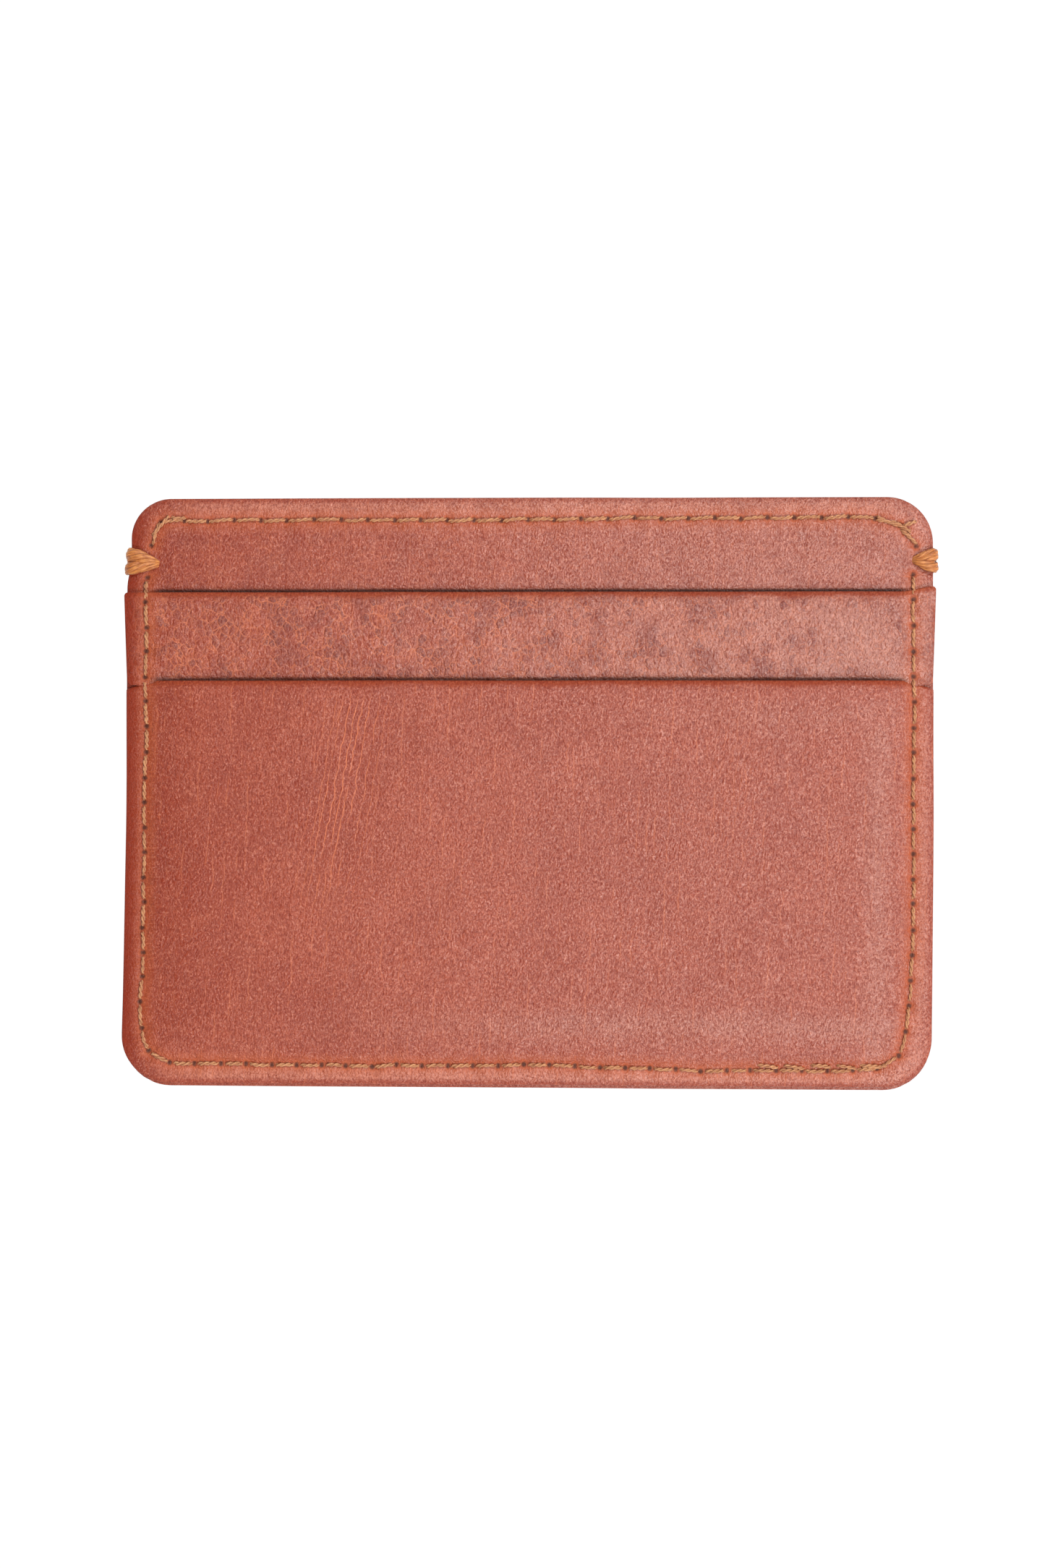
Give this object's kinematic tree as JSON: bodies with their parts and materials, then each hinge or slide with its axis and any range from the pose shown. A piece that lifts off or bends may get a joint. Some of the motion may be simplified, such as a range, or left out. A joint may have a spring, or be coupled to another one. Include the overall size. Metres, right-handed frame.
{
  "type": "card holder",
  "caption": "Flat leather card holder with stepped card slots on both faces and a centre compartment that opens at the top, sewn round its edge.",
  "frame": {"origin": "on the resting face, under the middle of the holder as it lies on its back", "axes": "+X along the width, +Y towards the slot mouths and the top edge, +Z out of the front face"},
  "size_m": [0.1008, 0.0728, 0.0058],
  "materials": {
    "russet_leather": "satin",
    "lining_cloth": "matte",
    "stiffener_card": "matte",
    "sewing_thread": "satin",
    "waxed_thread": "satin",
    "basting_tape": "matte"
  },
  "bodies": {
    "holder": {"front_face_panel": "russet_leather", "front_stiffener": "stiffener_card", "front_lining": "lining_cloth", "front_upper_pocket": "russet_leather", "front_upper_slot_cloth": "lining_cloth", "front_slot_base_thread": "sewing_thread", "front_lower_pocket": "russet_leather", "back_face_panel": "russet_leather", "back_stiffener": "stiffener_card", "back_lining": "lining_cloth", "back_upper_pocket": "russet_leather", "back_upper_slot_cloth": "lining_cloth", "back_slot_base_thread": "sewing_thread", "back_lower_pocket": "russet_leather", "seam_tape": "basting_tape", "seam_needle_thread": "sewing_thread", "seam_bobbin_thread": "sewing_thread", "left_bar_tack": "waxed_thread", "right_bar_tack": "waxed_thread"},
    "front_lip": {"front_face_lip": "russet_leather", "front_lip_lining": "lining_cloth", "front_lip_thread": "sewing_thread"},
    "back_lip": {"back_face_lip": "russet_leather", "back_lip_lining": "lining_cloth", "back_lip_thread": "sewing_thread"},
    "front_upper_mouth": {"front_upper_pocket_mouth": "russet_leather"},
    "front_lower_mouth": {"front_lower_pocket_mouth": "russet_leather"},
    "back_upper_mouth": {"back_upper_pocket_mouth": "russet_leather"},
    "back_lower_mouth": {"back_lower_pocket_mouth": "russet_leather"}
  },
  "joints": [
    {"name": "front_lip_flex", "type": "hinge", "parent": "holder", "child": "front_lip", "pos_m": [0, 0.0302, 0.00405], "axis": [1, 0, 0], "range_deg": [0, 30], "stiffness_Nm_per_rad": 0.04},
    {"name": "back_lip_flex", "type": "hinge", "parent": "holder", "child": "back_lip", "pos_m": [0, 0.0302, 0.00175], "axis": [-1, 0, 0], "range_deg": [0, 30], "stiffness_Nm_per_rad": 0.04},
    {"name": "front_upper_mouth_flex", "type": "hinge", "parent": "holder", "child": "front_upper_mouth", "pos_m": [0, 0.0143, 0.0049], "axis": [1, 0, 0], "range_deg": [0, 10], "stiffness_Nm_per_rad": 0.05},
    {"name": "front_lower_mouth_flex", "type": "hinge", "parent": "holder", "child": "front_lower_mouth", "pos_m": [0, -0.0003, 0.0058], "axis": [1, 0, 0], "range_deg": [0, 8], "stiffness_Nm_per_rad": 0.05},
    {"name": "back_upper_mouth_flex", "type": "hinge", "parent": "holder", "child": "back_upper_mouth", "pos_m": [0, 0.0143, 0.0009], "axis": [-1, 0, 0], "range_deg": [0, 10], "stiffness_Nm_per_rad": 0.05},
    {"name": "back_lower_mouth_flex", "type": "hinge", "parent": "holder", "child": "back_lower_mouth", "pos_m": [0, -0.0003, 0], "axis": [-1, 0, 0], "range_deg": [0, 8], "stiffness_Nm_per_rad": 0.05}
  ]
}
